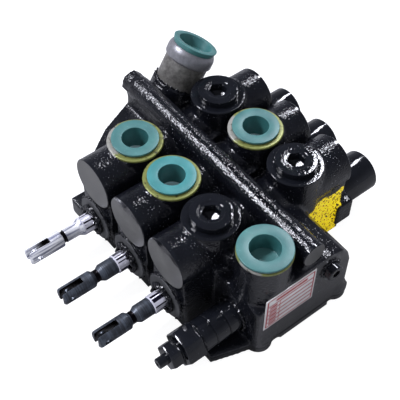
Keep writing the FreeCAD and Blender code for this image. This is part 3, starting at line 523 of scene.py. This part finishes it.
def printed_plate():
    """Anodised aluminium plate with a red printed frame and ruled rows, its fields left empty."""
    made, tree, shader, place = blank_material("printed aluminium plate")
    _, y, z = add(tree, "SeparateXYZ", [place]).outputs
    along = add(tree, "Math", [y, PLATE_LOW[1] * MM], operation="SUBTRACT")
    up = add(tree, "Math", [z, PLATE_LOW[2] * MM], operation="SUBTRACT")
    # Each line: the reading it is drawn across, its middle and width, and what bounds its length.
    left, right, foot, head = 1.8, 43.2, 1.8, 33.7
    lines = [(along, left, 1.1, up, foot, head), (along, right, 1.1, up, foot, head),
             (up, foot, 1.1, along, left, right), (up, head, 1.1, along, left, right),
             (along, 13.0, 0.6, up, foot, 26.8), (up, 30.2, 2.6, along, 9.0, 37.0)]
    for row in range(5):
        lines.append((up, 6.8 + row * 5.0, 1.2, along, left, right))
        lines.append((up, 4.3 + row * 5.0, 2.2, along, 4.0, 10.5))
    ink = 0.0
    for reading, middle, width, length, start, end in lines:
        off = add(tree, "Math", [reading, middle * MM], operation="SUBTRACT")
        off = add(tree, "Math", [off], operation="ABSOLUTE")
        line = add(tree, "MapRange", [off, (width / 2 + 0.08) * MM, width / 2 * MM])
        first = add(tree, "MapRange", [length, (start - 0.1) * MM, start * MM])
        last = add(tree, "MapRange", [length, (end + 0.1) * MM, end * MM])
        part = add(tree, "Math", [first, last], operation="MULTIPLY")
        line = add(tree, "Math", [line, part], operation="MULTIPLY")
        ink = add(tree, "Math", [ink, line], operation="MAXIMUM")
    worn = add(tree, "TexNoise", [place, grain(0.9), 3.0, 0.7])
    worn = add(tree, "MapRange", [worn, 0.34, 0.46, 0.6, 1.0])
    ink = add(tree, "Math", [ink, worn], operation="MULTIPLY")
    cloud = add(tree, "MapRange", [add(tree, "TexNoise", [place, grain(8.0)]), 0.3, 0.7])
    silver = add(tree, "Mix", [cloud, "#CECBCB", "#E4E1E1"], data_type="RGBA")
    skin = add(tree, "TexNoise", [place, grain(0.5), 1.0])
    wire(shader, {
        "Base Color": add(tree, "Mix", [ink, silver, "#A2071F"], data_type="RGBA"),
        "Metallic": 0.1,
        "Roughness": 0.36,
        "Normal": add(tree, "Bump", {"Height": skin, "Distance": 0.02 * MM, "Strength": 0.5})})
    return made


CASTING = cast_enamel()
ENAMEL = turned_enamel()
CRINKLED = turned_enamel("crinkled black enamel on the plugs", ripple=0.8, depth=0.12, dullness=0.6)
FACED = overspray_face()
GLAND = overspray_face("thicker coat on the gland faces", "#38393B", "#4A4B4D")
PRIMED = primed_face()
WET = wet_enamel()
TEAL = soft_plastic("teal polyethylene", "#356263", "#447573")
BRIGHT_TEAL = soft_plastic("fresh teal polyethylene", "#2F7375", "#3F8486")
# Painted shade: the inside walls of the soft plugs' cups are drawn a darker teal.
SHADED_TEAL = soft_plastic("painted shade inside the plugs", "#23504F", "#336566", "#4B7C7C")
# Painted light: the floors of the deep work-port cups are drawn pale, as lit from above.
LIT_FLOOR_TEAL = soft_plastic("painted light on the plug floors", "#B4D0D4", "#CBE0E3")
CHROME = hard_chrome()
PHOSPHATE = phosphated_steel()
BRIGHT = bright_steel()
ZINC = zinc_plate()
# Painted shade: a near-black steel finish for the forks' grooves and slots.
SLOT_SHADE = bright_steel("painted shade in slots and grooves", "#17161A", "#2D2B2C")
TUBE = drawn_tube()
SPRING = bright_steel("oiled spring wire", "#4A4B50", "#77797E")
RUBBER = nitrile()
PRINTED = printed_plate()

# The ports that hoses will join carry soft plugs; the others are closed with steel ones.
SOFT_PLUGGED = {"a1": TEAL, "a2": BRIGHT_TEAL, "b2": TEAL}
STEEL_PLUGGED = ("a3", "b1", "b3")


# Casting

def casting():
    """The casting with its edges and corners run round, as sand leaves them."""
    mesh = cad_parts["valve_body"].data.copy()
    piece = bpy.data.objects.new("casting", mesh)
    bpy.context.scene.collection.objects.link(piece)
    alone(piece)
    bpy.ops.object.mode_set(mode="EDIT")
    bpy.ops.mesh.select_all(action="SELECT")
    bpy.ops.mesh.remove_doubles(threshold=0.01 * MM)
    bpy.ops.object.mode_set(mode="OBJECT")
    applied(piece, "REMESH", mode="VOXEL", voxel_size=1.3 * MM)
    applied(piece, "SMOOTH", factor=0.5, iterations=5)
    alone(piece)
    bpy.ops.object.shade_smooth()
    fitted(piece, "housing", CASTING, "valve_body")


def face_disc(name, radius, at, axis, sign, finish):
    """A crisp faced end standing a hair proud of the rounded casting, enamelled round its rim."""
    disc = turned(name, [(radius - 0.3, -DISC_DEPTH), (radius, 0.3 - DISC_DEPTH), (radius, -0.5),
                         (radius - 0.45, 0)])
    if sign < 0:
        upended(disc)
    finished(disc, smooth=30)
    fitted(disc, "housing", finish)
    disc.data.materials.append(ENAMEL)
    for face in disc.data.polygons:
        round_the_rim = abs(face.normal.z) < 0.95
        if round_the_rim:
            face.material_index = 1
    settle(disc, at, axis)


def section_faces(n, x):
    """The faced ends of one spool section: two port rims, two blank bosses and the gland."""
    for side, y in PORT_Y.items():
        rim = turned(f"port_face_{side}{n}", [
            (12.6, -1.8), (20.55, -1.8), (20.75, -1.4), (20.75, -0.4), (20.3, 0.1), (12.6, 0.1),
            (12.6, -1.8)], hollow=True)
        finished(rim, bevel=0.25, smooth=30)
        settle(rim, (x, y, PORT_FACE))
        fitted(rim, "housing", PRIMED if f"{side}{n}" in SOFT_PLUGGED else CRINKLED)
    for side, sign in (("front", -1), ("rear", 1)):
        face_disc(f"blank_face_{side}_{n}", 20.1, (x, sign * BLANK_FACE, BLANK_Z), "y", sign, FACED)
    gland = turned(f"gland_face_{n}", [
        (10.55, -76.5), (17.7, -76.5), (17.85, -76.8), (17.85, -78.7), (17.4, -79.15), (10.55, -79.15),
        (10.55, -76.5)], hollow=True)
    finished(gland, smooth=30)
    settle(gland, (x, 0, SPOOL_Z), "y")
    fitted(gland, "housing", GLAND)


def inlet_faces():
    """The pressure port's rim, the faced end of the ridge, the plug in its far end, and the ledge."""
    rim = turned("pressure_face", [
        (14.3, -2.1), (19.4, -2.1), (19.65, -1.7), (19.65, -0.4), (19.2, 0.1), (14.3, 0.1), (14.3, -2.1)],
        hollow=True)
    finished(rim, smooth=30)
    settle(rim, (*PRESSURE_XY, PRESSURE_FACE))
    fitted(rim, "housing", PRIMED)
    face_disc("ridge_face", 9.5, (107.2, 0, RIDGE_Z), "x", 1, FACED)
    plug = turned("ridge_plug", [(8.2, -103.9), (9.4, -103.2), (9.4, -95.6), (8.8, -95.0)], sides=6, spin=12)
    finished(plug, bevel=0.6)
    settle(plug, (0, 0, RIDGE_Z), "x")
    fitted(plug, "housing", CASTING)
    ledge = bar("inlet_ledge", (108.5, -26, 0.05), (110.95, 20, 5))
    finished(ledge, bevel=0.5)
    fitted(ledge, "housing", CASTING)


def feet():
    """The four round feet with their bolt holes."""
    for place, (x, y) in FEET.items():
        foot = turned(f"foot_{place}", [(4.3, 0.05), (10.45, 0.05), (10.45, 8.9), (4.3, 8.9), (4.3, 0.05)],
                      hollow=True)
        finished(foot, bevel=0.6)
        settle(foot, (x, y, 0))
        fitted(foot, "housing", CASTING)


def paint_drops(name, inner, outer, low, high, at, axis="z", tilt=0.0, spin=0.0):
    """A ragged ring of thick paint that gathered round a root, drawn lumpy by a cloud pattern."""
    ring = turned(name, [(inner, low), (outer, low), (outer - 0.3, high), (inner, high + 0.5), (inner, low)],
                  sides=40, hollow=True, spin=spin)
    finished(ring, smooth=80)
    applied(ring, "SUBSURF", levels=2, render_levels=2)
    clouds = bpy.data.textures.new(f"{name} lumps", "CLOUDS")
    clouds.noise_scale = 3.2 * MM
    applied(ring, "DISPLACE", texture=clouds, strength=5.2 * MM, mid_level=0.62, texture_coords="LOCAL")
    finished(ring, smooth=80)
    settle(ring, at, axis, tilt)
    fitted(ring, "housing", WET)


# Port closures

def on_port(port):
    """The middle of a work port's face."""
    return SPOOL_X[int(port[1])], PORT_Y[port[0]], PORT_FACE


def shipping_plug(node, at, flange, bore, cup, depth, finish, floor):
    """A soft plug: a flange, a body down the bore and a deep cup."""
    top = 2.8
    bottom = top - depth
    piece = turned(f"shipping_{node}", [
        (bore - 0.1, bottom - 1.5), (bore - 0.1, 1.0), (flange, 1.0), (flange, top), (cup, top),
        (cup - 0.35, bottom)])
    finished(piece, bevel=0.3)
    fitted(piece, "housing", finish, node)
    piece.data.materials.append(SHADED_TEAL)
    piece.data.materials.append(floor)
    # Faces inside the cup get painted shade (slot 1); the floor faces get the floor finish (slot 2), which in
    # the work-port cups is painted light.
    for face in piece.data.polygons:
        if face.center.xy.length < (cup - 0.02) * MM and face.center.z < (top - 0.5) * MM:
            face.material_index = 2 if face.center.z < (bottom + 0.4) * MM else 1
    settle(piece, at)


def socket_plug(port):
    """A steel plug with a hexagon socket and a chamfered flange."""
    piece = turned(f"socket_plug_{port}", [
        (12.4, -14), (12.4, 0), (15.2, 0), (15.2, 5.2), (9.4, 5.2), (9.0, 4.8)])
    finished(piece, bevel=0.3, segments=4)
    carved(piece, turned("key", [(0.4, -4.6), (6.93, -2.0), (6.93, 9)], sides=6, spin=30))
    finished(piece, bevel=0.2)
    settle(piece, on_port(port))
    fitted(piece, "housing", CRINKLED, f"blank_plug_{port}")


def port_closures():
    """The plugs of the six work ports and of the pressure port."""
    for port, finish in SOFT_PLUGGED.items():
        shipping_plug(f"port_plug_{port}", on_port(port), flange=17.5, bore=12.5, cup=9.75, depth=19.3,
                      finish=finish, floor=LIT_FLOOR_TEAL)
    shipping_plug("port_plug_pressure", (*PRESSURE_XY, PRESSURE_FACE), flange=19.4, bore=14.2, cup=10.9,
                  depth=15, finish=TEAL, floor=TEAL)
    for port in STEEL_PLUGGED:
        socket_plug(port)


# Return pipe

def return_pipe():
    """The leaning pipe with its rolled bead, and the soft cap in its mouth."""
    pipe = turned("return_tube", [
        (14.6, 1.7), (17.3, 1.7), (17.3, 33.3), (17.9, 33.6), (18.6, 34.2), (19.0, 35.2), (19.0, 40.4),
        (18.7, 41.6), (17.9, 43.6), (16.7, 44.8), (14.6, 44.8), (14.6, 1.7)], hollow=True)
    finished(pipe, bevel=0.15, smooth=50)
    settle(pipe, PIPE_FOOT, tilt=PIPE_TILT)
    fitted(pipe, "housing", TUBE, "return_pipe")
    paint_drops("pipe_paint", 17.2, 19.4, 10.5, 14.6, PIPE_FOOT, tilt=PIPE_TILT)
    cap = turned("tube_cap", [
        (14.3, 35.9), (14.5, 44.8), (16.8, 44.8), (18.0, 48.8), (13.4, 48.8), (12.9, 40.8)])
    finished(cap, bevel=0.3)
    settle(cap, PIPE_FOOT, tilt=PIPE_TILT)
    fitted(cap, "housing", TEAL, "pipe_cap")


# Relief valve

def relief_valve():
    """The cartridge with its two grooves and hexagon, the washer, the nut and the socket screw."""
    barrel = turned("relief_barrel", [
        (9.5, 26), (9.5, 50), (11.4, 50), (12.0, 50.8), (12.0, 60.2), (11.1, 60.8), (12.0, 61.4),
        (12.0, 71.8), (11.1, 72.4), (12.0, 73.0), (12.0, 83.2), (4.1, 83.2)])
    finished(barrel, bevel=0.4, segments=4)
    hexagon = turned("relief_hexagon", [(13.6, 83.0), (14.43, 84.2), (14.43, 96.8), (13.8, 98.0)],
                     sides=6, spin=30)
    finished(hexagon, bevel=0.3)
    # The hub ends flush with the hexagon, where the washer sits.
    hub = turned("hub", [(11.5, 96), (11.5, 98.0)])
    alone(barrel, hexagon, hub)
    bpy.ops.object.join()
    upended(barrel)
    finished(barrel)
    settle(barrel, RELIEF, "y")
    fitted(barrel, "housing", ENAMEL, "relief_housing")
    paint_drops("relief_paint", 11.9, 15.0, -49.0, -52.6, RELIEF, "y")
    paint_drops("relief_bead", 11.7, 12.3, -82.2, -83.0, RELIEF, "y", spin=25)
    washer = turned("relief_washer", [
        (4.1, -98.0), (8.6, -98.0), (8.6, -99.4), (4.1, -99.4), (4.1, -98.0)], hollow=True)
    finished(washer, bevel=0.2)
    settle(washer, RELIEF, "y")
    fitted(washer, "housing", ENAMEL, "relief_lock_washer")
    nut = turned("relief_nut", [
        (4.1, -99.4), (9.3, -99.4), (10.39, -100.0), (10.39, -107.3), (9.9, -108.4), (4.1, -108.4),
        (4.1, -99.4)], sides=6, spin=30, hollow=True)
    finished(nut, bevel=0.3)
    settle(nut, RELIEF, "y")
    fitted(nut, "lock_nut_set", ENAMEL, "relief_lock_nut")
    screw = turned("relief_screw", [(4.0, -86.6), (4.0, -115.2), (3.5, -115.8)])
    finished(screw)
    carved(screw, turned("key", [(1.73, -118), (1.73, -110.8)], sides=6, spin=30))
    finished(screw, bevel=0.1)
    settle(screw, RELIEF, "y")
    fitted(screw, "adjuster_set", ENAMEL, "relief_adjuster")


def check_plug():
    """The small socket plug of the load check in the inlet's face, with paint round its root."""
    plug = turned("check_cap", [(5.4, 100), (5.4, 111.5), (6.5, 111.5), (6.5, 117.9), (5.9, 118.5)])
    finished(plug)
    carved(plug, turned("key", [(3.46, 113.5), (3.46, 121)], sides=6, spin=30))
    finished(plug, bevel=0.15)
    settle(plug, CHECK, "x")
    fitted(plug, "housing", ENAMEL, "check_plug")
    paint_drops("check_paint", 6.0, 9.4, 110.0, 113.2, CHECK, "x")


# Spools and caps

def spool(n, x):
    """A ground spool with its grooves, and the paint on the gland that it slides through."""
    piece = turned(f"ground_spool_{n}", [
        (4.1, -91.8), (6.9, -91.8), (7.25, -91.3), (7.25, -32), (5, -32), (5, -6), (7.25, -6), (7.25, 6),
        (5, 6), (5, 32), (7.25, 32), (7.25, 86), (3.1, 86), (3.1, 76), (0.1, 76), (0.1, -79.7),
        (4.1, -79.7), (4.1, -91.8)], hollow=True)
    finished(piece, smooth=30)
    settle(piece, (x, 0, SPOOL_Z), "y")
    fitted(piece, f"spool_{n}_set", CHROME, f"spool_{n}")
    paint_drops(f"gland_bead_{n}", 17.6, 19.4, -77.6, -79.2, (x, 0, SPOOL_Z), "y", spin=20 * n)
    paint_drops(f"gland_paint_{n}", 8.2, 12.6, -78.6, -84.0, (x, 0, SPOOL_Z), "y", spin=50 * n)


def clevis_end(n, x):
    """A forked end: turned, slotted from the tip and cross-drilled for the lever's pin."""
    steps = [(4.0, -79.8), (4.0, -91.8)]
    if n == 1:
        steps += [(7.15, -91.8), (7.15, -92.2), (5.4, -95.2), (5.1, -96.0), (5.1, -106.0), (5.2, -106.2),
                  (4.5, -107.0), (4.5, -109.0), (6.4, -109.6), (6.65, -110.1)]
    else:
        steps += [(6.3, -91.8), (6.65, -92.3), (6.65, -103.0), (6.3, -103.7), (5.1, -105.6), (4.8, -106.2),
                  (4.8, -109.6), (5.2, -110.2), (6.4, -111.4), (6.65, -112.2)]
    steps += [(6.65, -136.3), (6.2, -137.2), (5.45, -137.6)]
    piece = turned(f"fork_{n}", steps)
    finished(piece)
    carved(piece, bar("slot", (-SLOT_HALF, -9, -139), (SLOT_HALF, 9, SLOT_FLOOR)))
    pin = turned("pin", [(2.5, -9), (2.5, 9)], sides=48)
    settle(pin, (0, 0, -131.6), "x")
    carved(piece, pin)
    finished(piece, bevel=0.25, smooth=35)
    fitted(piece, f"spool_{n}_set", ZINC if n == 1 else PHOSPHATE, f"clevis_end_{n}")
    piece.data.materials.append(SLOT_SHADE)
    # Faces in the neck's groove, and in the slot of the blackened forks, get painted shade (slot 1).
    for face in piece.data.polygons:
        middle = face.center / MM
        groove = middle.xy.length < 4.95 and -109.2 < middle.z < -106.4
        slot = n > 1 and abs(middle.x) < SLOT_HALF + 0.04 and middle.z < SLOT_FLOOR + 0.1
        if groove or slot:
            face.material_index = 1
    settle(piece, (x, 0, SPOOL_Z), "y")


def spring_cap(n, x):
    """The cap over a spool's spring pack on the rear face."""
    piece = turned(f"end_cap_{n}", [
        (13.2, 78.5), (14.8, 78.5), (14.8, 84), (16.6, 84), (16.6, 115.7), (15.8, 116.5), (0.1, 116.5),
        (0.1, 113.5), (13.2, 113.5), (13.2, 78.5)], hollow=True)
    finished(piece, bevel=0.2)
    settle(piece, (x, 0, SPOOL_Z), "y")
    fitted(piece, "housing", ENAMEL, f"spring_cap_{n}")


# Plate

def data_plate():
    """The thin plate on the inlet's face."""
    plate = bar("data_plate", PLATE_LOW, PLATE_HIGH)
    finished(plate, bevel=0.1)
    fitted(plate, "housing", PRINTED, "name_plate")


casting()
for section, centre in SPOOL_X.items():
    section_faces(section, centre)
inlet_faces()
feet()
port_closures()
return_pipe()
relief_valve()
check_plug()
for section, centre in SPOOL_X.items():
    spool(section, centre)
    clevis_end(section, centre)
    spring_cap(section, centre)
data_plate()

# The hidden solids keep their CAD shape and only get a finish.
INNER = {"centering_spring": SPRING, "relief_spring": SPRING, "check_spring": SPRING, "front_seal": RUBBER,
         "rear_seal": RUBBER, "spring_seat": BRIGHT, "relief_spring_seat": BRIGHT, "stop_bolt": PHOSPHATE,
         "relief_poppet": BRIGHT, "check_poppet": BRIGHT}
for name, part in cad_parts.items():
    for start, finish in INNER.items():
        if name.startswith(start):
            part.data.materials.clear()
            part.data.materials.append(finish)


# Room, light and camera

def room():
    """A grey card on the table, which also glows to the camera and so is seen nearly white."""
    alone()
    bpy.ops.mesh.primitive_plane_add(size=6, location=(0, 0, -0.2 * MM))
    floor = bpy.context.object
    floor.name = "table"
    card, tree, shader, place = blank_material("grey card on the table")
    cloud = add(tree, "TexNoise", [place, grain(40.0)])
    wire(shader, {"Base Color": add(tree, "Mix", [cloud, "#8C8C8E", "#949496"], data_type="RGBA"),
                  "Roughness": 0.9})
    path = add(tree, "LightPath")
    glow = add(tree, "Emission", {"Color": "#FFFFFF", "Strength": 0.9})
    both = add(tree, "AddShader", [shader, glow])
    seen = add(tree, "MixShader", [path.outputs["Is Camera Ray"], shader, both])
    output = next(node for node in tree.nodes if node.type == "OUTPUT_MATERIAL")
    wire(output, {"Surface": seen})
    floor.data.materials.append(card)


def sky():
    """White to the camera, dim blue to the gloss, brighter to the dull faces."""
    world = bpy.data.worlds.new("studio")
    world.use_nodes = True
    bpy.context.scene.world = world
    tree = world.node_tree
    tree.nodes.clear()
    path = add(tree, "LightPath")
    seen = add(tree, "Background", {"Color": "#FFFFFF", "Strength": 1.0})
    fill = add(tree, "Background", {"Color": (0.92, 0.94, 1, 1), "Strength": 0.75})
    height = add(tree, "SeparateXYZ", [add(tree, "TexCoord").outputs["Generated"]]).outputs["Z"]
    band = add(tree, "MapRange", [height, 0.05, 0.6, 0.42, 0.13])
    dim = add(tree, "Background", {"Color": (0.82, 0.85, 1, 1), "Strength": band})
    gloss = add(tree, "MixShader", [path.outputs["Is Glossy Ray"], fill, dim])
    mix = add(tree, "MixShader", [path.outputs["Is Camera Ray"], gloss, seen])
    add(tree, "OutputWorld", {"Surface": mix})


def lamp(name, at, size, turn, power):
    """A flat ceiling light that faces straight down, its first side turned about Z."""
    data = bpy.data.lights.new(name, "AREA")
    data.energy = power
    data.color = (0.9, 0.91, 1.0)
    data.shape = "RECTANGLE"
    data.size, data.size_y = size
    made = bpy.data.objects.new(name, data)
    bpy.context.scene.collection.objects.link(made)
    made.location = at
    made.rotation_euler = (0, 0, math.radians(turn))


def camera():
    """The photograph's place: 50.9 degrees round from the lever side and 51.5 above the table."""
    azimuth, elevation, roll = (math.radians(a) for a in (50.86, 51.47, 1.22))
    target = Vector((28.18, -35.54, 84.0)) * MM
    distance = 640.45
    focal_pixels, frame_pixels, sensor = 932.01, 400, 36
    back = Vector((math.sin(azimuth) * math.cos(elevation), -math.cos(azimuth) * math.cos(elevation),
                   math.sin(elevation)))
    level = Vector((math.cos(azimuth), math.sin(azimuth), 0))
    up = back.cross(level)
    right = level * math.cos(roll) + up * math.sin(roll)
    top = up * math.cos(roll) - level * math.sin(roll)
    data = bpy.data.cameras.new("camera")
    data.sensor_width = sensor
    data.lens = sensor * focal_pixels / frame_pixels
    viewer = bpy.data.objects.new("camera", data)
    bpy.context.scene.collection.objects.link(viewer)
    turn = Matrix((right, top, back)).transposed()
    viewer.matrix_world = Matrix.Translation(target + back * distance * MM) @ turn.to_4x4()
    bpy.context.scene.camera = viewer


room()
sky()
lamp("long ceiling light", (-1.65, -1.68, 3.0), (0.55, 2.5), 0, 215)
lamp("short ceiling light", (-1.2, 2.25, 3.0), (1.4, 0.4), 140, 75)
camera()
bpy.context.scene.view_settings.view_transform = "Standard"
